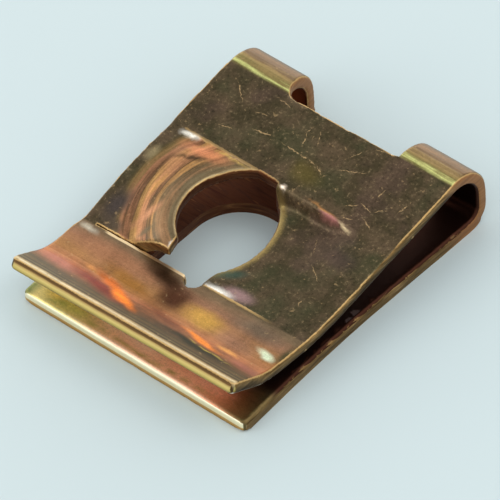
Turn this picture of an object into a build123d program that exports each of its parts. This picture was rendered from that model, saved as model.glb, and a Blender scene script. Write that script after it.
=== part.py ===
from build123d import *
from math import cos, hypot, pi, radians, sin, tan
import os

os.makedirs("parts", exist_ok=True)

# One clip-on nut, folded from one strip of spring steel. Millimetres, +Z up.
# The origin is on the underside of the lower leg, in the middle of the width, below the
# centre of the raised tongue's arc. +Y points at the fold and -Y at the lip.

# Strip; shearing has rounded its edges on the side that ends up inside the fold, and forming
# has drawn the tongue's and the flap's side edges a little tighter than the rest
strip_width = 14.0
strip_thickness = 0.65
sheared_edge_radius = 0.22
formed_edge_radius = 0.19

# Lower leg, which drifts to the right as it nears its front end and is a little waisted
front_reach = 8.4
lower_corner_radius = 0.3
lower_leg_drift = 0.27
lower_leg_waist = 0.09

# Fold, tighter at the bottom than at the top
fold_reach = 9.5
fold_lower_radius = 1.2
fold_upper_radius = 2.05
fold_centre_z = 1.96

# Upper leg, and the crease that ends it
leg_slope_deg = 11.3
impression_back = 2.8
impression_front = 3.68
crease_height = 1.88
crease_lift_across = 0.42

# Lip in front of the crease
lip_flat_length = 1.9
lip_flat_deg = 2.5
lip_bend_radius = 3.4
lip_angle_deg = 27.0
lip_reach = 8.6
lip_corner_radius = 0.3

# Notch in the fold; its left side leans outwards
notch_width = 7.0
notch_depth = 2.55
notch_shift = 0.13
notch_left_lean = 0.42
notch_left_radius = 0.9
notch_right_radius = 0.55

# Clearance slot in the lower leg, for the screw's shank
slot_width = 6.9
slot_length = 8.4
slot_corner_radius = 2.6
slot_back = 3.0

# Screw opening in the upper leg, between the tongue and the flap
thread_pitch = 1.8
tongue_arc_radius = 3.2
opening_width = 4.58
flap_arc_radius = 3.6
flap_arc_shift = 0.44
mouth_length = 1.0
mouth_left = 1.5
mouth_right = 0.45
relief_radius = 0.43
relief_x = 0.05
relief_forward = 0.03

# Raised tongue on the left of the opening
tongue_tip_height = 2.95
tongue_margin = 0.8
tongue_margin_bow = 0.2
tongue_front_margin = 2.6
tongue_shoulder = 3.2
tongue_front_shoulder = 1.9
tongue_turn_share = 0.55
slit_gap = 0.06

# Lowered flap on the right of the opening
flap_step_run = 0.6
flap_step_softness = 0.45
flap_wall_lean = 0.45
flap_full_reach = 2.6
flap_fade_reach = 6.2
flap_bend_y = -1.9
flap_bend_lift = 0.12
flap_inner_x = -0.3

# Worked out from the sizes above
half_width = strip_width / 2
slope = radians(leg_slope_deg)
flat_angle = radians(lip_flat_deg)
lip_angle = radians(lip_angle_deg)
fold_start_y = fold_reach - fold_lower_radius
fold_centre_y = fold_reach - fold_upper_radius
fold_inner_y = fold_reach - strip_thickness
inner_lower_radius = fold_lower_radius - strip_thickness
inner_upper_radius = fold_upper_radius - strip_thickness
slant_thickness = strip_thickness / cos(slope)
crease_thickness = strip_thickness / cos(flat_angle)
leg_start_y = fold_centre_y - fold_upper_radius * sin(slope)
leg_start_z = fold_centre_z + fold_upper_radius * cos(slope)
crease_y = -impression_front
impression_length = impression_back + impression_front
join_y = impression_back + 2 * strip_thickness
upper_leg_mid_y = (join_y + crease_y) / 2
flap_mid_x = (flap_inner_x + half_width) / 2

# Room for cutters, and the reach of the shapes that are trimmed later
overcut = 0.5
trim = 0.08
clear_of_lower_leg = 1.5 * strip_thickness
well_above = 3 * fold_upper_radius
tongue_overlap = 1.2
tongue_points = 10
slope_probe = 0.01
tongue_shares = (0.0, 0.12, 0.3, 0.5, 0.65, 0.78, 0.9, 1.0)
flap_shares = (0.0, 0.25, 0.5, 0.75, 1.0)


def mix(first, last, share):
    return first + (last - first) * share


def ease(share):
    share = min(max(share, 0.0), 1.0)
    return share * share * (3 - 2 * share)


def leg_top(y):
    """Height of the flat upper leg's top face."""
    return leg_start_z - (leg_start_y - y) * tan(slope)


def crease_top(x):
    """Height of the crease line; the lip stands a little higher on the right."""
    return crease_height + crease_lift_across * x / strip_width


def along(y):
    """0 at the back of the impression, 1 at the crease."""
    return (impression_back - y) / impression_length


def rolled(piece, radius, inside, on_rim):
    """The piece with its rim rounded on the faces that look at the point inside."""
    inner = []
    others = []
    for face in piece.faces():
        middle = face.position_at(0.5, 0.5)
        looks_in = (inside - middle).dot(face.normal_at(middle)) > 0
        (inner if looks_in else others).extend(face.edges())
    rim = []
    for edge in inner:
        if on_rim(edge.position_at(0.5)) and any(edge.is_same(other) for other in others):
            rim.append(edge)
    return piece.fillet(radius, rim)


def on_long_side(point):
    return abs(point.X) > half_width - trim


def in_gap(y):
    return Vector(0, y, fold_centre_z)


def below(y):
    return Vector(0, y, -fold_reach)


# The lower leg, whose sides curve gently out of the fold's line
def leg_side(x, waist):
    return Spline(
        (x, fold_start_y), (x - waist, 0), (x + lower_leg_drift, -front_reach),
        tangents=[(0, -1), (lower_leg_drift, -front_reach / 2)],
    )


def lower_leg():
    with BuildPart() as leg:
        with BuildSketch(Plane.XY):
            with BuildLine():
                Line((-half_width, fold_start_y), (half_width, fold_start_y))
                right = leg_side(half_width, lower_leg_waist)
                left = leg_side(-half_width, -lower_leg_waist)
                Line(right @ 1, left @ 1)
            outline = make_face()
            fillet(outline.vertices().sort_by(Axis.Y)[:2], lower_corner_radius)
        extrude(amount=strip_thickness)
    return leg.part


# The fold, and the flat upper leg to the back of the impression
def fold_and_leg():
    inner_end = (
        fold_centre_y - inner_upper_radius * sin(slope),
        fold_centre_z + inner_upper_radius * cos(slope),
    )
    back_top = (impression_back, leg_top(impression_back))
    back_under = (impression_back, leg_top(impression_back) - slant_thickness)
    with BuildPart() as fold:
        with BuildSketch(Plane.YZ.offset(-half_width)):
            with BuildLine():
                Line((fold_start_y, strip_thickness), (fold_start_y, 0))
                CenterArc((fold_start_y, fold_lower_radius), fold_lower_radius, -90, 90)
                Line((fold_reach, fold_lower_radius), (fold_reach, fold_centre_z))
                CenterArc((fold_centre_y, fold_centre_z), fold_upper_radius, 0, 90 + leg_slope_deg)
                Line((leg_start_y, leg_start_z), back_top)
                Line(back_top, back_under)
                Line(back_under, inner_end)
                CenterArc((fold_centre_y, fold_centre_z), inner_upper_radius, 0, 90 + leg_slope_deg)
                Line((fold_inner_y, fold_centre_z), (fold_inner_y, fold_lower_radius))
                CenterArc((fold_start_y, fold_lower_radius), inner_lower_radius, -90, 90)
            make_face()
        extrude(amount=strip_width)
    return fold.part


# The lip: nearly flat after the crease, then bent up and flared
def lip():
    start = (crease_y, crease_top(-half_width))
    bend_start = (start[0] - lip_flat_length, start[1] + lip_flat_length * tan(flat_angle))
    centre = (
        bend_start[0] + lip_bend_radius * sin(flat_angle),
        bend_start[1] + lip_bend_radius * cos(flat_angle),
    )
    outer_radius = lip_bend_radius + strip_thickness
    mid_angle = (flat_angle + lip_angle) / 2

    def on_bend(radius, angle):
        return (centre[0] - radius * sin(angle), centre[1] - radius * cos(angle))

    bend_end = on_bend(lip_bend_radius, lip_angle)
    lip_run = bend_end[0] + lip_reach
    tip = (bend_end[0] - lip_run, bend_end[1] + lip_run * tan(lip_angle))
    tip_under = (tip[0] - strip_thickness * sin(lip_angle), tip[1] - strip_thickness * cos(lip_angle))
    under_start = (crease_y, start[1] - crease_thickness)
    with BuildPart() as lip_part:
        with BuildSketch(Plane.YZ.offset(-half_width)):
            with BuildLine():
                Line(start, bend_start)
                ThreePointArc(bend_start, on_bend(lip_bend_radius, mid_angle), bend_end)
                Line(bend_end, tip)
                Line(tip, tip_under)
                Line(tip_under, on_bend(outer_radius, lip_angle))
                ThreePointArc(
                    on_bend(outer_radius, lip_angle),
                    on_bend(outer_radius, mid_angle),
                    on_bend(outer_radius, flat_angle),
                )
                Line(on_bend(outer_radius, flat_angle), under_start)
                Line(under_start, start)
            make_face()
        extrude(
            amount=hypot(strip_width, crease_lift_across), dir=(strip_width, 0, crease_lift_across)
        )
    whole = lip_part.part
    corners = [
        edge for edge in whole.edges()
        if on_long_side(edge.position_at(0.5)) and edge.length < strip_thickness + trim
        and edge.position_at(0.5).Y < crease_y - trim
    ]
    return whole.fillet(lip_corner_radius, corners)


# The raised tongue, lofted through sections across the strip from the back crease to the slit
def tongue_section(y):
    share = along(y)
    turn = ease((share - tongue_turn_share) / (1 - tongue_turn_share))
    back = leg_top(impression_back)
    rise_start = mix(-half_width + tongue_margin, -half_width + tongue_front_margin, turn)
    rise_end = mix(-tongue_shoulder, -tongue_front_shoulder, turn)
    edge = mix(back, crease_top(-half_width), share) + tongue_margin_bow * sin(pi * min(share, 1))
    level = mix(back, tongue_tip_height, share)
    thickness = mix(slant_thickness, crease_thickness, share)
    tilt = crease_lift_across / strip_width * share

    def top(x):
        base = edge + tilt * (x + half_width)
        return mix(base, max(level, base), ease((x - rise_start) / (rise_end - rise_start)))

    def under(x):
        steep = (top(x + slope_probe) - top(x - slope_probe)) / (2 * slope_probe)
        length = (1 + steep * steep) ** 0.5
        return (x + thickness * steep / length, y, top(x) - thickness / length)

    margin = -half_width + tongue_margin
    inner = -tongue_front_shoulder + tongue_overlap
    xs = [mix(margin, inner, i / tongue_points) for i in range(tongue_points + 1)]
    top_points = [(x, y, top(x)) for x in xs]
    under_points = [under(x) for x in xs]
    left_top = (-half_width, y, top(-half_width))
    left_under = (-half_width, y, top(-half_width) - thickness)
    edges = [
        Line(left_top, top_points[0]),
        Spline(*top_points),
        Line(top_points[-1], under_points[-1]),
        Spline(*reversed(under_points)),
        Line(under_points[0], left_under),
        Line(left_under, left_top),
    ]
    return Face(Wire(edges))


def tongue():
    ys = [impression_back - share * impression_length for share in tongue_shares] + [crease_y - overcut]
    body = Solid.make_loft([tongue_section(y).outer_wire() for y in ys])
    keep = Pos(-half_width / 2, (impression_back + crease_y) / 2, fold_centre_z) * Box(
        half_width, impression_length, well_above
    )
    return body & keep


# The lowered flap, lofted through side profiles from the opening to the right edge
def flap_section(x):
    weight = 1 - ease((x - flap_full_reach) / (flap_fade_reach - flap_full_reach))
    tongue_mid = mix(leg_top(impression_back), tongue_tip_height, along(0))
    flap_mid = tongue_mid - thread_pitch / 2
    flap_rise = (flap_mid - crease_top(0)) / impression_front
    step_y = impression_back - flap_step_run
    chord = mix(leg_top(impression_back), crease_top(x), along(step_y))
    step_top = mix(chord, flap_mid + flap_rise * step_y, weight)
    shift = strip_thickness * flap_wall_lean * weight
    handle = flap_step_softness * flap_step_run
    bend_top = crease_top(x) + flap_bend_lift * weight
    run_slope = (step_top - bend_top) / (step_y - flap_bend_y)
    end_y = crease_y - overcut
    end_top = crease_top(x) - overcut * (bend_top - crease_top(x)) / (flap_bend_y - crease_y)
    start_y = join_y + overcut

    def point(y, z):
        return (x, y, z)

    wall_top = [
        point(impression_back, leg_top(impression_back)),
        point(impression_back - handle, leg_top(impression_back - handle)),
        point(step_y + handle, step_top + handle * run_slope),
        point(step_y, step_top),
    ]
    wall_under = [
        point(impression_back + shift, leg_top(impression_back + shift) - slant_thickness),
        point(
            impression_back + shift - handle,
            leg_top(impression_back + shift - handle) - slant_thickness,
        ),
        point(step_y + shift + handle, step_top + (shift + handle) * run_slope - strip_thickness),
        point(step_y + shift, step_top + shift * run_slope - strip_thickness),
    ]
    start_top = point(start_y, leg_top(start_y))
    start_under = point(start_y, leg_top(start_y) - slant_thickness)
    crease_point = point(crease_y, crease_top(x))
    crease_under = point(crease_y, crease_top(x) - crease_thickness)
    end_point = point(end_y, end_top)
    end_under = point(end_y, end_top - crease_thickness)
    edges = [
        Line(start_top, wall_top[0]),
        Bezier(*wall_top),
        Bezier(wall_top[-1], point(flap_bend_y, bend_top), crease_point),
        Line(crease_point, end_point),
        Line(end_point, end_under),
        Line(end_under, crease_under),
        Bezier(crease_under, point(flap_bend_y, bend_top - strip_thickness), wall_under[-1]),
        Bezier(*reversed(wall_under)),
        Line(wall_under[0], start_under),
        Line(start_under, start_top),
    ]
    return Face(Wire(edges))


def flap():
    fading = [mix(flap_full_reach, flap_fade_reach, share) for share in flap_shares]
    xs = [flap_inner_x - overcut, flap_full_reach / 2] + fading + [half_width + overcut]
    body = Solid.make_loft([flap_section(x).outer_wire() for x in xs])
    keep = Pos(flap_mid_x, upper_leg_mid_y, fold_centre_z) * Box(
        half_width - flap_inner_x, join_y - crease_y, well_above
    )
    return body & keep


# The cuts
def slit():
    left = -half_width + tongue_margin
    right = -mouth_left + overcut
    width = right - left
    return Pos(left + width / 2, crease_y + slit_gap / 2, clear_of_lower_leg + well_above / 2) * Box(
        width, slit_gap, well_above
    )


def screw_opening():
    """Two shallow arcs facing each other, cut off at the back crease and open to the slit in front."""
    flap_centre_x = opening_width - tongue_arc_radius - flap_arc_radius
    mouth_y = crease_y + mouth_length

    def tongue_arc_x(y):
        return -((tongue_arc_radius ** 2 - y ** 2) ** 0.5)

    def flap_arc_x(y):
        return flap_centre_x + (flap_arc_radius ** 2 - (y + flap_arc_shift) ** 2) ** 0.5

    with BuildPart() as cutter:
        with BuildSketch(Plane.XY.offset(clear_of_lower_leg)):
            with BuildLine():
                ThreePointArc(
                    (tongue_arc_x(impression_back), impression_back),
                    (-tongue_arc_radius, 0),
                    (tongue_arc_x(mouth_y), mouth_y),
                )
                Line((tongue_arc_x(mouth_y), mouth_y), (-mouth_left, crease_y))
                Line((-mouth_left, crease_y), (mouth_right, crease_y))
                Line((mouth_right, crease_y), (flap_arc_x(mouth_y), mouth_y))
                ThreePointArc(
                    (flap_arc_x(mouth_y), mouth_y),
                    (flap_arc_x(-flap_arc_shift), -flap_arc_shift),
                    (flap_arc_x(impression_back), impression_back),
                )
                Line(
                    (flap_arc_x(impression_back), impression_back),
                    (tongue_arc_x(impression_back), impression_back),
                )
            make_face()
            with Locations((relief_x, crease_y - relief_forward)):
                Circle(relief_radius)
        extrude(amount=well_above)
    return cutter.part


def clearance_slot():
    with BuildPart() as cutter:
        with BuildSketch(Plane.XY.offset(-overcut)):
            with Locations((0, slot_back - slot_length / 2)):
                RectangleRounded(slot_width, slot_length, slot_corner_radius)
        extrude(amount=overcut + clear_of_lower_leg)
    return cutter.part


def fold_notch():
    front = fold_reach - notch_depth
    back = fold_reach + overcut
    left = notch_shift - notch_width / 2
    right = notch_shift + notch_width / 2
    back_left = left - notch_left_lean * (back - front) / notch_depth
    with BuildPart() as cutter:
        with BuildSketch(Plane.XY.offset(-overcut)):
            with BuildLine():
                Polyline((left, front), (right, front), (right, back), (back_left, back), close=True)
            outline = make_face()
            front_corners = outline.vertices().sort_by(Axis.Y)[:2].sort_by(Axis.X)
            fillet(front_corners[0], notch_left_radius)
            fillet(front_corners[1], notch_right_radius)
        extrude(amount=well_above)
    return cutter.part


def flap_room():
    """What the lowered flap takes the place of in the upper leg."""
    return Pos(flap_mid_x + overcut / 2, upper_leg_mid_y, clear_of_lower_leg + well_above / 2) * Box(
        half_width + overcut - flap_inner_x, join_y - crease_y, well_above
    )


def on_strip_rim(point):
    near_side = abs(point.X) > half_width - lower_leg_drift - lower_corner_radius
    near_front = point.Y < -front_reach + lower_corner_radius
    return near_side or near_front


def on_lip_rim(point):
    return abs(point.X) > half_width - lip_corner_radius or point.Y < -lip_reach


inside_the_fold = in_gap(upper_leg_mid_y + impression_length)
strip = rolled(lower_leg() + fold_and_leg(), sheared_edge_radius, inside_the_fold, on_strip_rim)
tongue_piece = rolled(tongue(), formed_edge_radius, below(0), on_long_side) - slit()
flap_piece = rolled(flap(), formed_edge_radius, below(0), on_long_side)
lip_piece = rolled(lip(), sheared_edge_radius, below(crease_y), on_lip_rim)
body = (strip - flap_room()) + tongue_piece + flap_piece + lip_piece
clip_nut = body - screw_opening() - clearance_slot() - fold_notch()
export_step(clip_nut, "parts/clip_nut.step")
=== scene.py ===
import math

import bmesh
import bpy
import numpy
from mathutils import Matrix, Vector, noise
from mathutils.kdtree import KDTree


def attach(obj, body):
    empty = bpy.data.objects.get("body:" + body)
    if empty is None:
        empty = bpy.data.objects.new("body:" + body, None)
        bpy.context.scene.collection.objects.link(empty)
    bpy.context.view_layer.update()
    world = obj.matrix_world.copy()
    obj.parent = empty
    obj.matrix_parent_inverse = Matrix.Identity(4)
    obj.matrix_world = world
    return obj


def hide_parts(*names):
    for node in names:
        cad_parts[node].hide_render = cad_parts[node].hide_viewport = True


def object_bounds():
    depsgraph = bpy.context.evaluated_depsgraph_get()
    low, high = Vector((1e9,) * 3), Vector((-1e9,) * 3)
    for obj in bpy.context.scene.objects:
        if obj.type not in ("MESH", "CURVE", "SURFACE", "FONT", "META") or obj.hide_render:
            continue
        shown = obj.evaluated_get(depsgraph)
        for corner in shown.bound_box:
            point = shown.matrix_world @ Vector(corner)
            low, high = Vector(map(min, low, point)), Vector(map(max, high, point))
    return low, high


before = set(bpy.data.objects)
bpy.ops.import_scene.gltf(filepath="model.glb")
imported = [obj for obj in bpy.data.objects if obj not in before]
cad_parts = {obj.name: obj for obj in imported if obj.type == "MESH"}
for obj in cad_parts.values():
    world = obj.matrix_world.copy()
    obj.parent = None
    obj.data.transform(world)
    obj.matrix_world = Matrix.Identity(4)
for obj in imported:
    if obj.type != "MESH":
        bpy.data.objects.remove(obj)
cad_box = [list(corner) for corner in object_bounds()]

MM = 0.001

# Camera, fitted to the photograph's outline, in millimetres in the part's frame
EYE = Vector((152.106, -157.194, 221.120))
LOOK_RIGHT = Vector((0.75191699, 0.65742253, -0.0491574))
LOOK_UP = Vector((-0.44152772, 0.55755473, 0.70298364))
LOOK_FORWARD = Vector((-0.48956522, 0.50688099, -0.70950515))
SENSOR = 36.0
FOCAL_PIXELS = 6548.084
PHOTO_PIXELS = 500.0

# Places on the clip, in millimetres
CREASE_Y = -3.68
IMPRESSION_BACK = 2.8
TONGUE_ARC = 3.2
FLAP_CENTRE = (-2.22, -0.44)
FLAP_ARC = 3.6
FOLD_START_Y = 6.95
FOLD_CENTRE = (7.45, 1.96)
STRIP_HALF = 7.0
BETWEEN_LEGS = 0.85
PAINTED_FROM = 1.5

# Mesh of the clip, in millimetres
MERGE_GAP = 0.002
SHARP_ANGLE = math.radians(28)
HARD_ANGLE = math.radians(50)
SAMPLE_STEP = 0.03
NEAR_LENGTH = 0.12
TOP_LENGTH = 0.25
FAR_LENGTH = 0.5
NEAR_REACH = 0.10
GROWTH = 2.4
REFINE_PASSES = 8
ROUND_REACH = 0.11
ROUND_STEPS = 6
WAVE_HEIGHT = 0.012
WAVE_SIZE = 2.6
DENT_HEIGHT = 0.006
DENT_SIZE = 0.7
RIDGE_HEIGHT = 0.035
RIDGE_HALF_WIDTH = 0.09


# The clip's mesh

def smooth_step(low, high, value):
    share = min(max((value - low) / (high - low), 0.0), 1.0)
    return share * share * (3 - 2 * share)


def face_kind(face):
    """Which part of the strip a face is: (sheared wall, wall of the opening, inner side of the fold)."""
    normal = face.normal
    x, y, z = face.calc_center_median() / MM
    side_wall = abs(normal.x) > 0.85
    upright = abs(normal.z) < 0.1
    opening = upright and abs(x) < 6.4 and -6.0 < y < IMPRESSION_BACK + 0.3
    notch = upright and abs(normal.y) > 0.5 and 6.5 < y < 8.0 and abs(x) < 4.2
    front_wall = y < -8.1 and normal.y < -0.8
    sheared = side_wall or opening or notch or front_wall
    if y > FOLD_CENTRE[0]:
        inner = normal.y * (y - FOLD_CENTRE[0]) + normal.z * (z - FOLD_CENTRE[1]) < 0
    else:
        inner = normal.z < -0.2 if z > BETWEEN_LEGS else normal.z > 0.2
    return float(sheared), float(opening), float(inner and not sheared)


def out_of_sight(place):
    """Whether a place is on the clearance slot or the underside, whose edges stay as they are."""
    x, y, z = place / MM
    return z < BETWEEN_LEGS and y > -8.0 and (abs(x) < 6.6 or z < 0.3)


def sharp_tree(body):
    """A search tree of points along the outward sharp edges."""
    points = []
    for edge in body.edges:
        if len(edge.link_faces) == 2 and edge.is_convex and edge.calc_face_angle() > SHARP_ANGLE:
            start, end = (vert.co for vert in edge.verts)
            if out_of_sight((start + end) / 2):
                continue
            count = max(1, math.ceil((end - start).length / (SAMPLE_STEP * MM)))
            points += [start.lerp(end, (i + 0.5) / count) for i in range(count)]
    # The crease gets a fine mesh too, for the low ridge that runs along it
    crease_x = 0.5
    while crease_x < 5.5:
        height = frame_height(crease_x)
        points.append(Vector((crease_x, CREASE_Y, height)) * MM)
        crease_x += SAMPLE_STEP
    tree = KDTree(len(points))
    for number, point in enumerate(points):
        tree.insert(point, number)
    tree.balance()
    return tree


def frame_height(x):
    """Height of the crease at x."""
    return 1.88 + 0.42 * x / (2 * STRIP_HALF)


def refine(body, tree):
    """Cuts long edges, down to small ones near the sharp edges."""
    for _ in range(REFINE_PASSES):
        reach = {vert: tree.find(vert.co)[2] / MM for vert in body.verts}
        chosen = []
        for edge in body.edges:
            first, last = edge.verts
            length = (first.co - last.co).length / MM
            if length < NEAR_LENGTH:
                continue
            middle = tree.find((first.co + last.co) / 2)[2] / MM
            away = min(reach[first], reach[last], middle)
            limit = (NEAR_LENGTH + GROWTH * max(away - NEAR_REACH, 0)) * 1.5
            on_top = min(first.co.z, last.co.z) > PAINTED_FROM * MM and edge.link_faces[0].normal.z > 0.5
            if length > min(limit, TOP_LENGTH if on_top else FAR_LENGTH):
                chosen.append(edge)
        if not chosen:
            break
        bmesh.ops.subdivide_edges(body, edges=chosen, cuts=1)
        bmesh.ops.triangulate(body, faces=[face for face in body.faces if len(face.verts) > 3])
        flat = [edge for edge in body.edges if len(edge.link_faces) == 2 and edge.calc_face_angle() < 0.02]
        bmesh.ops.beautify_fill(body, faces=body.faces[:], edges=flat, method="ANGLE")


def soften(body, tree):
    """Rounds the sharp edges by easing the points near them towards their neighbours."""
    body.verts.ensure_lookup_table()
    body.verts.index_update()
    places = numpy.array([vert.co for vert in body.verts])
    pairs = numpy.array([[vert.index for vert in edge.verts] for edge in body.edges])
    away = numpy.array([tree.find(vert.co)[2] for vert in body.verts]) / MM
    share = numpy.clip(1 - away / ROUND_REACH, 0, 1)[:, None] * 0.8
    degree = numpy.bincount(pairs.ravel(), minlength=len(places))[:, None]
    for _ in range(ROUND_STEPS):
        total = numpy.zeros_like(places)
        numpy.add.at(total, pairs[:, 0], places[pairs[:, 1]])
        numpy.add.at(total, pairs[:, 1], places[pairs[:, 0]])
        places += (total / degree - places) * share
    for vert, place in zip(body.verts, places, strict=True):
        vert.co = place
    return away


def wave(body, box):
    """Moves the sheet's surface a very little in and out, and never past the solid's own box."""
    low, high = (Vector(corner) for corner in box)
    body.normal_update()
    for vert in body.verts:
        place = vert.co / MM
        lift = WAVE_HEIGHT * noise.noise(place / WAVE_SIZE) + DENT_HEIGHT * noise.noise(place / DENT_SIZE)
        on_top = smooth_step(0.7, 0.95, vert.normal.z) * smooth_step(0.9, 1.2, place.z)
        along = smooth_step(0.5, 0.8, place.x) * (1 - smooth_step(3.5, 5.5, place.x))
        across = math.exp(-((place.y - CREASE_Y) / RIDGE_HALF_WIDTH) ** 2)
        lift += RIDGE_HEIGHT * on_top * along * across
        moved = vert.co + vert.normal * lift * MM
        vert.co = Vector(max(a, min(b, c)) for a, b, c in zip(low, high, moved, strict=True))


# Wide patches of colour, painted on the mesh: the plating's colours, with painted highlights and reflections among
# them

def tint(red, green, blue):
    """A colour written as it shows on a screen, 0 to 255."""
    def straight(level):
        level = level / 255
        return level / 12.92 if level < 0.04045 else ((level + 0.055) / 1.055) ** 2.4
    return (straight(red), straight(green), straight(blue), 1)


# Patches are (x, y, half length, half width, turn in degrees, colour, strength)
LIP_PATCHES = [
    (4.6, -4.5, 2.2, 0.7, -3, tint(112, 98, 80), 0.8),
    (6.8, -4.9, 0.6, 1.1, 0, tint(72, 72, 46), 0.9),
    (-3.9, -4.95, 3.6, 1.15, -3, tint(168, 118, 84), 0.85),
    (-5.6, -6.95, 1.9, 0.6, -4, tint(160, 98, 78), 0.85),
    (-2.2, -5.8, 2.4, 0.65, -14, tint(158, 108, 48), 0.9),
    # Pale patch at the lip's left corner: a painted highlight
    (-6.3, -4.1, 0.8, 0.26, -10, tint(214, 206, 184), 0.7),
    (-2.9, -7.0, 3.1, 0.6, -13, tint(124, 50, 32), 1.0),
    (-2.4, -6.5, 2.1, 0.42, -20, tint(196, 100, 32), 1.0),
    (-1.45, -7.02, 1.6, 0.46, -25, tint(252, 138, 34), 1.0),
    (-4.2, -6.1, 0.9, 0.2, -12, tint(206, 140, 76), 0.7),
    (-1.0, -4.45, 2.4, 0.7, -9, tint(64, 44, 28), 1.0),
    (0.15, -5.25, 1.35, 1.15, -25, tint(84, 52, 34), 1.0),
    (2.4, -5.45, 1.9, 0.85, -4, tint(202, 156, 78), 1.0),
    (4.4, -5.7, 1.8, 0.85, 0, tint(162, 118, 92), 0.8),
    (3.3, -6.75, 1.9, 0.24, -9, tint(234, 136, 50), 1.0),
    (4.7, -6.5, 0.7, 0.2, -6, tint(226, 160, 86), 0.8),
    (1.0, -6.6, 1.9, 0.45, -12, tint(120, 70, 42), 0.9),
    (3.4, -7.4, 3.4, 0.36, -3, tint(46, 46, 26), 1.0),
    (4.2, -7.25, 2.1, 0.07, -8, tint(190, 170, 78), 0.9),
    (6.0, -6.95, 1.2, 0.5, -3, tint(158, 98, 78), 0.8),
    # Green-white patch at the lip's right end: a painted highlight
    (6.05, -5.45, 0.8, 0.3, -14, tint(230, 244, 208), 1.0),
]
DOME_PATCHES = [
    (-4.3, 2.15, 1.9, 0.6, 6, tint(206, 134, 92), 0.9),
    (-5.2, 0.9, 0.5, 1.8, 12, tint(180, 130, 92), 0.75),
    (-4.6, 1.55, 1.5, 0.17, 27, tint(74, 58, 42), 0.9),
    (-4.9, -0.6, 0.2, 1.3, 6, tint(196, 146, 84), 0.8),
    # The gold line along the tongue's back crease and the white patch at its left end: painted highlights
    (-3.1, 2.62, 1.5, 0.09, 3, tint(206, 172, 96), 0.9),
    (-5.7, 2.6, 0.7, 0.22, 12, tint(244, 240, 226), 1.0),
    (-6.45, 0.8, 0.35, 0.7, 0, tint(168, 152, 112), 0.6),
    (-4.2, -2.3, 0.35, 1.3, -18, tint(188, 134, 98), 0.85),
    (-6.0, -2.35, 0.85, 1.45, -8, tint(76, 67, 62), 1.0),
    (-5.4, -3.3, 1.1, 0.5, -20, tint(86, 74, 62), 0.9),
    (-4.75, -2.85, 0.32, 0.07, -25, tint(158, 116, 82), 0.8),
    (-3.6, -3.0, 0.25, 0.7, -30, tint(104, 92, 68), 0.8),
    # White spot at the tongue's tip: a painted highlight
    (-1.62, -3.32, 0.14, 0.34, 10, tint(250, 246, 236), 1.0),
]
FLAP_PATCHES = [
    # White spot at the corner of the step behind the flap: a painted highlight
    (0.08, 2.78, 0.24, 0.12, 0, tint(255, 236, 214), 1.0),
    (0.4, 3.9, 1.6, 0.9, -10, tint(104, 92, 48), 0.6),
    (1.25, -2.45, 1.2, 0.4, 38, tint(58, 86, 74), 0.7),
    (2.4, -3.25, 1.3, 0.55, 6, tint(172, 138, 136), 0.8),
    # White patch at the crease in front of the flap: a painted highlight
    (1.45, -3.6, 1.25, 0.36, 5, tint(255, 250, 238), 1.0),
    # Lines along the step behind the flap, tan ending in cream, with a pink patch beside them: a painted highlight
    # along the step's edge; the pink is partly plating colour and partly painted reflection
    (3.1, 2.62, 0.9, 0.16, -7, tint(158, 104, 98), 0.85),
    (2.4, 2.78, 1.4, 0.07, -4, tint(176, 128, 78), 0.85),
    (4.1, 2.56, 0.6, 0.08, -10, tint(214, 192, 150), 0.7),
    (4.0, -1.0, 2.2, 1.0, 20, tint(58, 62, 40), 0.5),
    (5.2, 1.0, 1.2, 0.8, 0, tint(78, 62, 60), 0.5),
]
UNDER_LIP_PATCHES = [
    (-6.5, -8.0, 0.5, 0.9, 0, tint(110, 122, 70), 0.9),
    (-5.3, -7.6, 0.9, 0.5, 0, tint(246, 214, 120), 0.9),
    (-3.9, -7.8, 1.4, 0.4, 0, tint(206, 204, 122), 0.8),
    (-0.5, -7.5, 3.2, 0.45, 0, tint(255, 224, 204), 0.9),
    (4.0, -7.5, 2.2, 0.5, 0, tint(255, 200, 176), 0.9),
    (1.2, -8.05, 5.0, 0.14, 0, tint(170, 156, 92), 0.9),
    (-4.7, -7.95, 1.0, 0.25, 6, tint(150, 160, 90), 0.8),
    (-2.6, -7.95, 1.2, 0.2, 4, tint(184, 170, 104), 0.8),
]


def eased(values, low, high):
    share = numpy.clip((values - low) / (high - low), 0, 1)
    return share * share * (3 - 2 * share)


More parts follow.
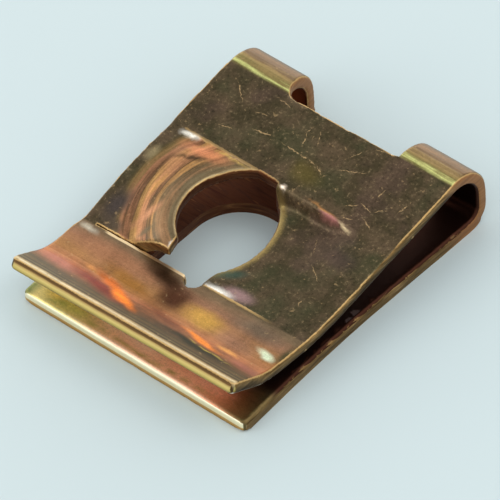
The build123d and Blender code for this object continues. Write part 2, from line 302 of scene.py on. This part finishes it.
def paint_patches(mesh):
    """Paints the wide patches, one over another, as a colour attribute whose alpha is how much they cover."""
    places = numpy.empty(len(mesh.vertices) * 3)
    mesh.vertices.foreach_get("co", places)
    places = places.reshape(-1, 3) / MM
    normals = numpy.empty(len(mesh.vertices) * 3)
    mesh.vertices.foreach_get("normal", normals)
    outward = eased(normals.reshape(-1, 3)[:, 2], -0.5, -0.2)
    x, y, z = places.T
    drift = numpy.array([noise.noise_vector(Vector((px * 0.8, py * 0.8, 0.0))) for px, py, _ in places])
    fine = numpy.array([noise.noise_vector(Vector((px * 2.6, py * 2.6, 3.0))) for px, py, _ in places])
    upper = eased(z, BETWEEN_LEGS - 0.05, BETWEEN_LEGS + 0.05) * outward
    lower = eased(-z, -BETWEEN_LEGS, 0.1 - BETWEEN_LEGS) * outward
    behind = eased(y, CREASE_Y - 0.02, CREASE_Y + 0.03)
    groups = (
        (LIP_PATCHES, upper * (1 - behind), 0.30),
        (DOME_PATCHES, upper * behind * eased(-x, 0.0, 0.6), 0.16),
        (FLAP_PATCHES, upper * behind * eased(x, -0.6, 0.0), 0.12),
        (UNDER_LIP_PATCHES, lower * eased(-y, 5.5, 6.5), 0.2),
    )
    cover = numpy.zeros(len(places))
    colour = numpy.zeros((len(places), 3))
    for rows, mask, bend in groups:
        at_x = x + bend * (drift[:, 0] + 0.4 * fine[:, 0])
        at_y = y + 0.6 * bend * (drift[:, 1] + 0.4 * fine[:, 1])
        for centre_x, centre_y, along, across, turn, shade, strength in rows:
            angle = math.radians(turn)
            off_x = at_x - centre_x
            off_y = at_y - centre_y
            run = (off_x * math.cos(angle) + off_y * math.sin(angle)) / along
            rise = (off_y * math.cos(angle) - off_x * math.sin(angle)) / across
            share = eased(-numpy.hypot(run, rise), -1.0, -0.15) * strength * mask
            cover += (1 - cover) * share
            colour += (numpy.array(shade[:3]) - colour) * share[:, None]
    layer = mesh.attributes.new("patches", "FLOAT_COLOR", "POINT")
    layer.data.foreach_set("color", numpy.column_stack((colour, cover)).astype("float32").ravel())


def shade_walls(mesh):
    """Paints shade on the lower half of the upper leg's side walls, which face the dark gap: an attribute that
    darkens their colour.
    """
    places = numpy.empty(len(mesh.vertices) * 3)
    mesh.vertices.foreach_get("co", places)
    x, y, z = (places.reshape(-1, 3) / MM).T
    on_wall = (abs(x) > STRIP_HALF - 0.2) & (z > BETWEEN_LEGS) & (y < 7.0)
    slots = numpy.floor((y + 9.0) / 0.4).astype(int)
    shade = numpy.zeros(len(x))
    for slot in numpy.unique(slots[on_wall]):
        here = on_wall & (slots == slot)
        top = z[here].max()
        shade[here] = eased(top - z[here], 0.28, 0.5) * 0.7
    layer = mesh.attributes.new("wall_painted_shade", "FLOAT", "POINT")
    layer.data.foreach_set("value", shade.astype("float32"))


def spring_clip():
    """The clip as one closed mesh with rounded edges and a slightly uneven sheet."""
    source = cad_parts["clip_nut"]
    mesh = source.data.copy()
    mesh.name = "spring_clip"
    body = bmesh.new()
    body.from_mesh(mesh)
    bmesh.ops.remove_doubles(body, verts=body.verts, dist=MERGE_GAP * MM)
    layers = [body.faces.layers.float.new(name) for name in ("sheared", "opening", "inner")]
    for face in body.faces:
        for layer, value in zip(layers, face_kind(face), strict=True):
            face[layer] = value
    tree = sharp_tree(body)
    refine(body, tree)
    away = soften(body, tree)
    wave(body, cad_box)
    for face in body.faces:
        face.smooth = True
    body.normal_update()
    for edge in body.edges:
        edge.smooth = edge.calc_face_angle(0.0) < HARD_ANGLE
    body.to_mesh(mesh)
    body.free()
    rim = mesh.attributes.new("from_edge", "FLOAT", "POINT")
    rim.data.foreach_set("value", away.astype("float32"))
    paint_patches(mesh)
    shade_walls(mesh)
    clip = bpy.data.objects.new("spring_clip", mesh)
    bpy.context.scene.collection.objects.link(clip)
    return clip


# Materials

SCRATCHES = [
    (-0.45, 4.58, 1.35, 0.045, -3), (-2.8, 4.6, 0.8, 0.04, 10), (-0.78, 5.35, 0.5, 0.035, 112),
    (-0.95, 5.95, 0.3, 0.035, 78), (-0.2, 5.75, 0.45, 0.035, 120), (1.95, 6.05, 0.65, 0.03, 58),
    (3.0, 6.85, 0.75, 0.028, 16), (2.4, 5.15, 0.9, 0.028, 24), (4.3, 3.88, 0.5, 0.03, -14),
    (5.0, 4.1, 0.45, 0.028, 40), (5.15, -1.95, 0.22, 0.028, 95), (-3.5, 5.42, 0.45, 0.026, 14),
    (5.85, 4.9, 0.6, 0.028, 80), (1.0, 4.35, 0.35, 0.03, -30), (1.35, 4.15, 0.25, 0.035, 50),
    (4.6, -0.2, 0.7, 0.022, -35), (3.9, 2.9, 0.5, 0.03, 20), (-5.3, 5.9, 0.8, 0.022, -40),
    (-4.6, 3.9, 0.6, 0.022, 15), (3.4, 1.2, 0.6, 0.02, -60), (-3.0, 6.5, 0.7, 0.022, -10),
    (4.4, 4.9, 0.35, 0.03, 80), (3.6, 3.6, 0.4, 0.028, 35), (4.9, 3.2, 0.45, 0.028, -20),
]


class Paint:
    """Short calls that add one material's nodes."""

    def __init__(self, material):
        material.use_nodes = True
        self.tree = material.node_tree
        self.tree.nodes.clear()
        self.out = self.add("ShaderNodeOutputMaterial")
        self.shader = self.add("ShaderNodeBsdfPrincipled")
        self.tree.links.new(self.shader.outputs["BSDF"], self.out.inputs["Surface"])

    def add(self, kind, **settings):
        node = self.tree.nodes.new(kind)
        for name, value in settings.items():
            setattr(node, name, value)
        return node

    def put(self, socket, value):
        if isinstance(value, bpy.types.NodeSocket):
            self.tree.links.new(value, socket)
        else:
            socket.default_value = value

    def math(self, operation, *values, clamp=False):
        node = self.add("ShaderNodeMath", operation=operation, use_clamp=clamp)
        for socket, value in zip(node.inputs, values, strict=False):
            self.put(socket, value)
        return node.outputs[0]

    def vector(self, operation, *values):
        node = self.add("ShaderNodeVectorMath", operation=operation)
        for socket, value in zip(node.inputs, values, strict=False):
            self.put(socket, value)
        return node.outputs["Value" if operation == "LENGTH" else "Vector"]

    def step(self, value, low, high):
        """0 below low and 1 above high, with a soft way between; low may be the larger."""
        node = self.add("ShaderNodeMapRange", interpolation_type="SMOOTHSTEP")
        for name, item in (("Value", value), ("From Min", low), ("From Max", high)):
            self.put(node.inputs[name], item)
        return node.outputs["Result"]

    def mix(self, share, first, last):
        node = self.add("ShaderNodeMix", data_type="RGBA", clamp_factor=True)
        self.put(node.inputs["Factor"], share)
        self.put(node.inputs[6], first)
        self.put(node.inputs[7], last)
        return node.outputs[2]

    def noise(self, place, scale, detail=3.0, stretch=None):
        if stretch:
            place = self.vector("MULTIPLY", place, stretch)
        node = self.add("ShaderNodeTexNoise")
        node.inputs["Scale"].default_value = scale
        node.inputs["Detail"].default_value = detail
        node.inputs["Roughness"].default_value = 0.6
        self.put(node.inputs["Vector"], place)
        return node.outputs["Fac"]

    def ramp(self, value, stops):
        """Colours at the given values of a socket, straight between them."""
        low, high = stops[0][0], stops[-1][0]
        span = self.add("ShaderNodeMapRange")
        for name, item in (("Value", value), ("From Min", low), ("From Max", high)):
            self.put(span.inputs[name], item)
        node = self.add("ShaderNodeValToRGB")
        self.tree.links.new(span.outputs["Result"], node.inputs["Fac"])
        elements = node.color_ramp.elements
        while len(elements) < len(stops):
            elements.new(0.5)
        for element, (place, colour) in zip(elements, stops, strict=True):
            element.position = (place - low) / (high - low)
            element.color = colour
        return node.outputs["Color"]

    def patch(self, place, x, y, along, across, turn=0.0, core=0.0):
        """1 in the middle of a soft oval on the plan, 0 outside it."""
        node = self.add("ShaderNodeMapping", vector_type="TEXTURE")
        self.put(node.inputs["Vector"], place)
        node.inputs["Location"].default_value = (x, y, 0)
        node.inputs["Rotation"].default_value = (0, 0, math.radians(turn))
        node.inputs["Scale"].default_value = (along, across, 1)
        return self.step(self.vector("LENGTH", node.outputs["Vector"]), 1.0, core)


def broad_side(paint, x, y, z, place):
    """Colour of the plated sheet: a mottled dark flat, with bright bands on the formed lip, tongue and fold, which
    are partly the colour of rubbing and partly painted reflections and highlights of these curved faces.
    """
    grain = paint.noise(place, 0.9, 4)
    cloud = paint.noise(place, 0.33, 2)
    fine = paint.noise(place, 6.0, 4)
    colour = paint.mix(paint.step(grain, 0.36, 0.66), tint(70, 62, 44), tint(94, 79, 60))
    colour = paint.mix(paint.math("MULTIPLY", paint.step(cloud, 0.5, 0.68), 0.45), colour, tint(70, 74, 50))
    colour = paint.mix(paint.math("MULTIPLY", paint.step(cloud, 0.48, 0.34), 0.4), colour, tint(92, 72, 64))
    colour = paint.mix(paint.math("MULTIPLY", paint.step(fine, 0.55, 0.75), 0.6), colour, tint(136, 118, 88))
    colour = paint.mix(paint.math("MULTIPLY", paint.step(fine, 0.45, 0.28), 0.55), colour, tint(46, 42, 30))

    plan = paint.add("ShaderNodeCombineXYZ")
    paint.put(plan.inputs[0], x)
    paint.put(plan.inputs[1], y)
    plan = plan.outputs[0]
    upper = paint.step(z, BETWEEN_LEGS - 0.05, BETWEEN_LEGS + 0.05)
    lower = paint.math("SUBTRACT", 1.0, upper)

    # Lip, streaked along its length; its bands are partly plating colour and partly painted reflections of the curved
    # lip
    streak = paint.noise(plan, 1.0, 5, (0.35, 3.2, 1))
    run = paint.math("ADD", y, paint.math("MULTIPLY", paint.math("SUBTRACT", streak, 0.5), 0.9))
    lip = paint.ramp(run, [
        (-8.0, tint(112, 90, 56)), (-7.7, tint(84, 70, 44)), (-7.3, tint(120, 84, 54)),
        (-6.6, tint(160, 102, 66)), (-5.6, tint(170, 124, 78)), (-4.7, tint(156, 114, 86)),
        (-4.0, tint(126, 104, 78)), (-3.6, tint(104, 90, 68)),
    ])
    on_lip = paint.math("MULTIPLY", paint.step(y, CREASE_Y + 0.02, CREASE_Y - 0.12), upper)
    colour = paint.mix(on_lip, colour, lip)
    # Bands along the lip's front edge; the cream band near the edge is a painted highlight on the rounded edge
    thin_run = paint.math("ADD", y, paint.math("MULTIPLY", paint.math("SUBTRACT", streak, 0.5), 0.16))
    tip = paint.ramp(thin_run, [
        (-8.8, tint(96, 74, 46)), (-8.68, tint(80, 60, 38)), (-8.58, tint(176, 154, 112)),
        (-8.42, tint(208, 190, 150)), (-8.3, tint(150, 126, 84)), (-8.2, tint(64, 52, 34)),
        (-8.1, tint(112, 96, 62)), (-8.0, tint(74, 62, 40)), (-7.86, tint(96, 78, 50)),
    ])
    on_tip = paint.math("MULTIPLY", paint.step(y, -7.8, -7.98), upper)

    # Tongue, streaked round the opening; its rings are partly plating colour and partly painted highlights that
    # follow the curve round the opening
    radius = paint.vector("LENGTH", plan)
    angle = paint.math("ARCTAN2", y, paint.math("MULTIPLY", x, -1))
    polar = paint.add("ShaderNodeCombineXYZ")
    paint.put(polar.inputs[0], radius)
    paint.put(polar.inputs[1], paint.math("MULTIPLY", angle, 1.1))
    swirl = paint.noise(polar.outputs[0], 1.3, 5, (2.2, 0.6, 1))
    ring = paint.math("ADD", radius, paint.math("MULTIPLY", paint.math("SUBTRACT", swirl, 0.5), 1.5))
    dome = paint.ramp(ring, [
        (3.1, tint(120, 100, 72)), (3.5, tint(112, 98, 72)), (3.85, tint(152, 116, 82)),
        (4.2, tint(108, 90, 64)), (4.45, tint(176, 132, 82)), (4.7, tint(92, 72, 50)),
        (4.95, tint(184, 130, 92)), (5.3, tint(180, 138, 84)), (5.55, tint(92, 70, 48)),
        (5.8, tint(156, 110, 80)), (6.2, tint(128, 104, 66)), (6.5, tint(100, 86, 56)),
    ])
    thin_swirl = paint.noise(polar.outputs[0], 1.3, 4, (4.0, 0.9, 1))
    left = paint.step(x, 0.0, -0.6)
    behind_crease = paint.step(y, CREASE_Y - 0.02, CREASE_Y + 0.04)
    before_back = paint.step(y, IMPRESSION_BACK + 0.05, IMPRESSION_BACK - 0.08)
    on_dome = paint.math("MULTIPLY", paint.math("MULTIPLY", left, behind_crease), before_back)
    on_dome = paint.math("MULTIPLY", paint.math("MULTIPLY", on_dome, upper), paint.step(radius, 6.6, 6.2))
    colour = paint.mix(on_dome, colour, dome)
    rim = paint.step(radius, TONGUE_ARC + 0.2, TONGUE_ARC + 0.06)
    rim = paint.math("MULTIPLY", paint.math("MULTIPLY", rim, on_dome), 0.8)
    colour = paint.mix(rim, colour, tint(178, 158, 118))

    # Flap, with a lighter band along the opening, partly rubbing and partly a painted highlight on its rounded rim
    right_side = paint.math("MULTIPLY", paint.step(x, -0.6, 0.0), upper)
    on_flap = paint.math("MULTIPLY", right_side, behind_crease)
    from_centre = paint.vector("LENGTH", paint.vector("SUBTRACT", plan, (*FLAP_CENTRE, 0)))
    speckle = paint.math("MULTIPLY", paint.math("SUBTRACT", fine, 0.5), 0.5)
    from_rim = paint.math("ADD", paint.math("SUBTRACT", from_centre, FLAP_ARC), speckle)
    near_rim = paint.math("MULTIPLY", paint.step(from_rim, 0.5, 0.05), paint.step(y, -4.0, -2.4))
    near_rim = paint.math("MULTIPLY", paint.math("MULTIPLY", near_rim, on_flap), paint.step(y, 2.9, 2.3))
    colour = paint.mix(paint.math("MULTIPLY", near_rim, 0.9), colour, tint(172, 148, 92))

    # Fold, banded along its length by the angle round the bend: a painted highlight line near its top, and lighter
    # and darker bands round the bend that are partly plating colour and partly painted shading
    round_fold = paint.math(
        "ARCTAN2", paint.math("SUBTRACT", z, FOLD_CENTRE[1]), paint.math("SUBTRACT", y, FOLD_CENTRE[0]))
    band = paint.math("ADD", round_fold, paint.math("MULTIPLY", paint.math("SUBTRACT", streak, 0.5), 0.5))
    fold = paint.ramp(band, [
        (-1.6, tint(92, 76, 50)), (0.0, tint(120, 92, 66)), (0.6, tint(104, 82, 58)),
        (1.0, tint(146, 112, 78)), (1.25, tint(104, 82, 56)), (1.45, tint(154, 130, 84)),
        (1.6, tint(134, 120, 74)), (1.69, tint(206, 208, 132)), (1.78, tint(132, 124, 72)), (2.0, tint(88, 78, 52)),
    ])
    on_fold = paint.step(y, FOLD_START_Y, FOLD_START_Y + 0.25)
    colour = paint.mix(on_fold, colour, fold)

    # Lower leg in front of the lip
    leg = paint.ramp(paint.math("ADD", x, paint.math("MULTIPLY", streak, 0.8)), [
        (-7.0, tint(120, 124, 84)), (-5.6, tint(240, 214, 140)), (-4.0, tint(216, 200, 134)),
        (-1.5, tint(240, 196, 164)), (4.0, tint(250, 196, 166)), (5.6, tint(214, 150, 116)), (6.6, tint(140, 104, 70)), (7.3, tint(112, 94, 60)),
    ])
    on_leg = paint.math("MULTIPLY", lower, paint.step(y, -5.5, -6.5))
    colour = paint.mix(on_leg, colour, leg)

    # The painted patches go over these, a little streaked
    painted = paint.add("ShaderNodeAttribute", attribute_name="patches")
    bare = paint.vector("MULTIPLY", colour, paint.math("SUBTRACT", 1.0, painted.outputs["Alpha"]))
    colour = paint.vector("ADD", bare, painted.outputs["Color"])
    colour = paint.mix(on_tip, colour, tip)

    # Thin streaks on the lip, leg and fold and rings on the tongue, partly rubbing and partly painted reflection
    # streaks, and grain all over
    thin_streak = paint.noise(plan, 1.0, 4, (0.4, 8.0, 1))
    uneven = paint.noise(plan, 0.7, 2, (1, 0.3, 1))
    rubbing_and_reflection = paint.math("MAXIMUM", paint.math("MAXIMUM", on_lip, on_leg), on_fold)
    lines = paint.math("MULTIPLY", paint.math("SUBTRACT", thin_streak, 0.5), rubbing_and_reflection)
    rings = paint.math("MULTIPLY", paint.math("SUBTRACT", thin_swirl, 0.5), on_dome)
    lively = paint.math("MULTIPLY", paint.math("ADD", paint.math("MULTIPLY", lines, 0.25), rings), 1.5)
    grit = paint.math("ADD", fine, paint.noise(place, 15.0, 2))
    lively = paint.math("ADD", lively, paint.math("MULTIPLY", paint.math("SUBTRACT", grit, 1.0), 0.6))
    swell = paint.math("SUBTRACT", paint.math("MULTIPLY", uneven, 0.9), 0.52)
    lively = paint.math("ADD", lively, paint.math("MULTIPLY", swell, on_lip))
    colour = paint.vector("MULTIPLY", colour, paint.math("MAXIMUM", paint.math("ADD", lively, 1.0), 0.3))
    return colour, plan, fine, streak, upper


def chromate(material):
    """Yellow chromate over zinc, with rubbing and scratches and bare-looking sheared walls, and painted highlights
    and shade on edges, walls and the lower leg's front.
    """
    paint = Paint(material)
    here = paint.add("ShaderNodeTexCoord").outputs["Object"]
    place = paint.vector("MULTIPLY", here, (1000, 1000, 1000))
    parts = paint.add("ShaderNodeSeparateXYZ")
    paint.put(parts.inputs[0], place)
    x, y, z = parts.outputs
    colour, plan, fine, streak, upper = broad_side(paint, x, y, z, place)

    # Scratches and specks
    jitter = paint.add("ShaderNodeTexNoise")
    jitter.inputs["Scale"].default_value = 5.0
    paint.put(jitter.inputs["Vector"], plan)
    shake = paint.vector("SUBTRACT", jitter.outputs["Color"], (0.5, 0.5, 0.5))
    rough_plan = paint.vector("ADD", plan, paint.vector("MULTIPLY", shake, (0.22, 0.22, 0)))
    scratch = 0.0
    for at_x, at_y, along, across, turn in SCRATCHES:
        scratch = paint.math("MAXIMUM", scratch, paint.patch(rough_plan, at_x, at_y, along, across, turn, 0.5))
    broken = paint.step(paint.noise(place, 7.0, 2), 0.38, 0.52)
    inner = paint.add("ShaderNodeAttribute", attribute_name="inner").outputs["Fac"]
    scratch = paint.math("MULTIPLY", paint.math("MULTIPLY", scratch, broken), upper)
    scratch = paint.math("MULTIPLY", scratch, paint.math("SUBTRACT", 1.0, inner))
    specks = paint.step(paint.noise(place, 3.4, 6), 0.63, 0.7)
    specks = paint.math("MULTIPLY", specks, paint.math("SUBTRACT", 1.0, inner))
    marks = paint.math("MAXIMUM", scratch, paint.math("MULTIPLY", specks, 0.5))
    colour = paint.mix(paint.math("MULTIPLY", marks, 0.8), colour, tint(186, 156, 112))

    # Inner side of the fold, dark maroon, and nearly white under the lip: painted light, so that the lower leg in
    # front mirrors it brightly
    inner_colour = paint.ramp(streak, [
        (0.3, tint(92, 52, 36)), (0.5, tint(126, 76, 48)), (0.6, tint(106, 66, 46)), (0.72, tint(184, 120, 70)),
    ])
    inner_colour = paint.mix(paint.step(x, 2.0, 5.0), inner_colour, tint(64, 38, 28))
    under_lip = paint.math("MULTIPLY", paint.step(y, -4.0, -5.5), upper)
    inner_colour = paint.mix(under_lip, inner_colour, tint(245, 236, 222))
    front_leg = paint.math("MULTIPLY", paint.math("SUBTRACT", 1.0, upper), paint.step(y, -5.7, -6.5))
    colour = paint.mix(paint.math("MULTIPLY", inner, paint.math("SUBTRACT", 1.0, front_leg)), colour, inner_colour)

    # Sheared walls, streaked along the cut
    wall = paint.add("ShaderNodeAttribute", attribute_name="sheared").outputs["Fac"]
    opening = paint.add("ShaderNodeAttribute", attribute_name="opening").outputs["Fac"]
    drawn = paint.noise(place, 1.6, 5, (0.5, 0.5, 5.0))
    wall_colour = paint.ramp(drawn, [
        (0.3, tint(84, 62, 36)), (0.45, tint(118, 92, 56)), (0.58, tint(140, 110, 68)), (0.72, tint(182, 148, 98)),
    ])
    wall_colour = paint.mix(paint.step(y, 6.0, 8.0), wall_colour, paint.mix(drawn, tint(104, 66, 40), tint(196, 140, 92)))
    round_opening = paint.ramp(drawn, [
        (0.3, tint(70, 40, 27)), (0.48, tint(104, 62, 40)), (0.6, tint(116, 74, 48)), (0.72, tint(156, 108, 68)),
    ])
    deep = paint.math("MULTIPLY", opening, paint.step(y, -3.3, -2.9))
    wall_colour = paint.mix(deep, wall_colour, round_opening)
    # Front wall of the lower leg: tan below, and cream above, which is a painted highlight on its rounded top edge
    low_front = paint.math("MULTIPLY", paint.step(y, -8.2, -8.35), paint.step(z, 0.95, 0.85))
    front_band_and_highlight = paint.ramp(z, [
        (0.0, tint(130, 96, 52)), (0.12, tint(206, 160, 90)), (0.22, tint(214, 168, 98)),
        (0.3, tint(255, 244, 208)), (0.6, tint(255, 246, 214)),
    ])
    wall_colour = paint.mix(low_front, wall_colour, front_band_and_highlight)
    lip_foot = paint.math("ADD", 2.47, paint.math("MULTIPLY", x, 0.03))
    up_lip = paint.math("ADD", paint.math("SUBTRACT", z, lip_foot), paint.math("MULTIPLY", drawn, 0.08))
    lip_band = paint.ramp(up_lip, [
        (0.04, tint(122, 92, 50)), (0.16, tint(160, 128, 70)), (0.3, tint(204, 180, 106)),
        (0.42, tint(218, 196, 124)), (0.5, tint(196, 164, 104)), (0.56, tint(120, 90, 56)), (0.64, tint(104, 78, 48)),
    ])
    lip_front = paint.math("MULTIPLY", paint.step(y, -8.5, -8.6), upper)
    wall_colour = paint.mix(lip_front, wall_colour, lip_band)
    # Painted shade: darkens the lower half of the upper leg's side walls
    wall_painted_shade = paint.add("ShaderNodeAttribute", attribute_name="wall_painted_shade").outputs["Fac"]
    wall_colour = paint.vector("MULTIPLY", wall_colour, paint.math("SUBTRACT", 1.0, wall_painted_shade))
    colour = paint.mix(wall, colour, wall_colour)

    # Edge wear, lighter cream-gold, which also stands for painted highlights along the rounded edges, less where the
    # edges are hidden
    from_edge = paint.add("ShaderNodeAttribute", attribute_name="from_edge").outputs["Fac"]
    ragged = paint.math("ADD", from_edge, paint.math("MULTIPLY", paint.math("SUBTRACT", fine, 0.5), 0.08))
    wear_and_edge_highlight = paint.step(ragged, 0.08, 0.02)
    stepped = paint.math("MULTIPLY", paint.step(y, 1.0, 1.4), paint.step(y, 3.3, 3.0))
    stepped = paint.math("MULTIPLY", stepped, paint.step(x, 0.1, 0.5))
    back_edge = paint.math("MULTIPLY", paint.step(y, 2.4, 2.6), paint.step(y, 3.4, 3.2))
    stepped = paint.math("MAXIMUM", stepped, paint.math("MULTIPLY", back_edge, 0.5))
    wear_and_edge_highlight = paint.math("MULTIPLY", wear_and_edge_highlight, paint.math("SUBTRACT", 0.75, paint.math("MULTIPLY", stepped, 0.7)))
    fading = paint.math("MULTIPLY", paint.step(x, 3.2, 5.2), paint.step(x, 6.6, 6.4))
    fading = paint.math("MULTIPLY", fading, paint.step(y, CREASE_Y + 0.5, CREASE_Y + 0.3))
    fading = paint.math("MULTIPLY", fading, paint.step(y, CREASE_Y - 0.5, CREASE_Y - 0.3))
    wear_and_edge_highlight = paint.math("MULTIPLY", wear_and_edge_highlight, paint.math("SUBTRACT", 1.0, fading))
    below = paint.math("MULTIPLY", paint.step(z, 0.95, 0.85), paint.step(z, 0.3, 0.4))
    hidden = paint.math("MAXIMUM", inner, paint.math("MULTIPLY", below, paint.step(y, -8.2, -7.8)))
    wear_and_edge_highlight = paint.math("MULTIPLY", wear_and_edge_highlight, paint.math("SUBTRACT", 1.0, paint.math("MULTIPLY", hidden, 0.8)))
    colour = paint.mix(wear_and_edge_highlight, colour, tint(206, 170, 112))

    # Painted highlight along the front edge of the slit
    slit_y = paint.math("ADD", y, paint.math("MULTIPLY", paint.math("SUBTRACT", streak, 0.5), 0.06))
    slit = paint.math("MULTIPLY", paint.step(slit_y, CREASE_Y - 0.2, CREASE_Y - 0.13), paint.step(x, 0.5, 0.2))
    slit = paint.math("MULTIPLY", paint.math("MULTIPLY", slit, paint.step(x, -5.6, -5.2)), upper)
    slit = paint.math("MULTIPLY", slit, paint.step(y, CREASE_Y + 0.06, CREASE_Y + 0.02))
    colour = paint.mix(paint.math("MULTIPLY", slit, 0.9), colour, tint(244, 216, 170))

    shader = paint.shader
    paint.put(shader.inputs["Base Color"], colour)
    shader.inputs["Metallic"].default_value = 1.0
    rough = paint.math("ADD", 0.30, paint.math("MULTIPLY", fine, 0.16))
    rough = paint.math("ADD", rough, paint.math("MULTIPLY", wall, 0.12))
    rough = paint.math("ADD", rough, paint.math("MULTIPLY", marks, 0.12))
    paint.put(shader.inputs["Roughness"], rough)
    height = paint.math("ADD", paint.math("MULTIPLY", fine, 0.5), paint.math("MULTIPLY", marks, -0.5))
    height = paint.math("ADD", height, paint.math("MULTIPLY", streak, 0.3))
    height = paint.math("ADD", height, paint.math("MULTIPLY", paint.math("MULTIPLY", drawn, wall), 2.0))
    bump = paint.add("ShaderNodeBump")
    bump.inputs["Strength"].default_value = 0.35
    bump.inputs["Distance"].default_value = 0.02 * MM
    paint.put(bump.inputs["Height"], height)
    paint.put(shader.inputs["Normal"], bump.outputs["Normal"])


def board(material, colour):
    paint = Paint(material)
    paint.shader.inputs["Base Color"].default_value = colour
    paint.shader.inputs["Roughness"].default_value = 0.9
    paint.shader.inputs["Specular IOR Level"].default_value = 0.2


# Lamps

def lamp(name, place, target, size, level):
    """A soft box whose face is level times as bright as white."""
    data = bpy.data.lights.new(name, "AREA")
    data.shape = "RECTANGLE"
    data.size, data.size_y = (side * MM for side in size)
    data.energy = level * math.pi * size[0] * size[1] * MM * MM
    item = bpy.data.objects.new(name, data)
    bpy.context.scene.collection.objects.link(item)
    start = Vector(place) * MM
    item.location = start
    item.rotation_euler = (Vector(target) * MM - start).to_track_quat("-Z", "Y").to_euler()
    return item


clip = spring_clip()
plating = bpy.data.materials.new("yellow_chromate")
chromate(plating)
clip.data.materials.clear()
clip.data.materials.append(plating)
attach(clip, "root")
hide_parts("clip_nut")

# Floor
floor_mesh = bpy.data.meshes.new("table_top")
half = 600 * MM
floor_mesh.from_pydata(
    [(-half, -half, 0), (half, -half, 0), (half, half, 0), (-half, half, 0)], [], [(0, 1, 2, 3)])
floor = bpy.data.objects.new("table_top", floor_mesh)
bpy.context.scene.collection.objects.link(floor)
floor_paint = bpy.data.materials.new("pale_board")
board(floor_paint, tint(201, 216, 218))
floor_mesh.materials.append(floor_paint)

# World and lamps
world = bpy.data.worlds.new("studio")
bpy.context.scene.world = world
world.use_nodes = True
world.node_tree.nodes["Background"].inputs["Color"].default_value = (1, 1, 1, 1)
world.node_tree.nodes["Background"].inputs["Strength"].default_value = 1.0
TARGET = (0, 0, 2)
lamp("window_back_left", (-120, 215, 45), TARGET, (260, 90), 1.5)
lamp("window_left", (-240, 40, 60), TARGET, (160, 90), 1.3)
lamp("window_front_left", (-120, -190, 120), TARGET, (150, 110), 1.6)
lamp("ceiling_right", (150, 90, 230), TARGET, (150, 150), 1.2)

# Camera
eye = bpy.data.cameras.new("photo_view")
eye.sensor_width = SENSOR
eye.lens = FOCAL_PIXELS / PHOTO_PIXELS * SENSOR
eye.clip_start = 0.02
eye.clip_end = 10
camera = bpy.data.objects.new("photo_view", eye)
turn = Matrix((LOOK_RIGHT, LOOK_UP, -LOOK_FORWARD)).transposed()
camera.matrix_world = Matrix.Translation(EYE * MM) @ turn.to_4x4()
bpy.context.scene.collection.objects.link(camera)
bpy.context.scene.camera = camera
bpy.context.scene.view_settings.view_transform = "Standard"
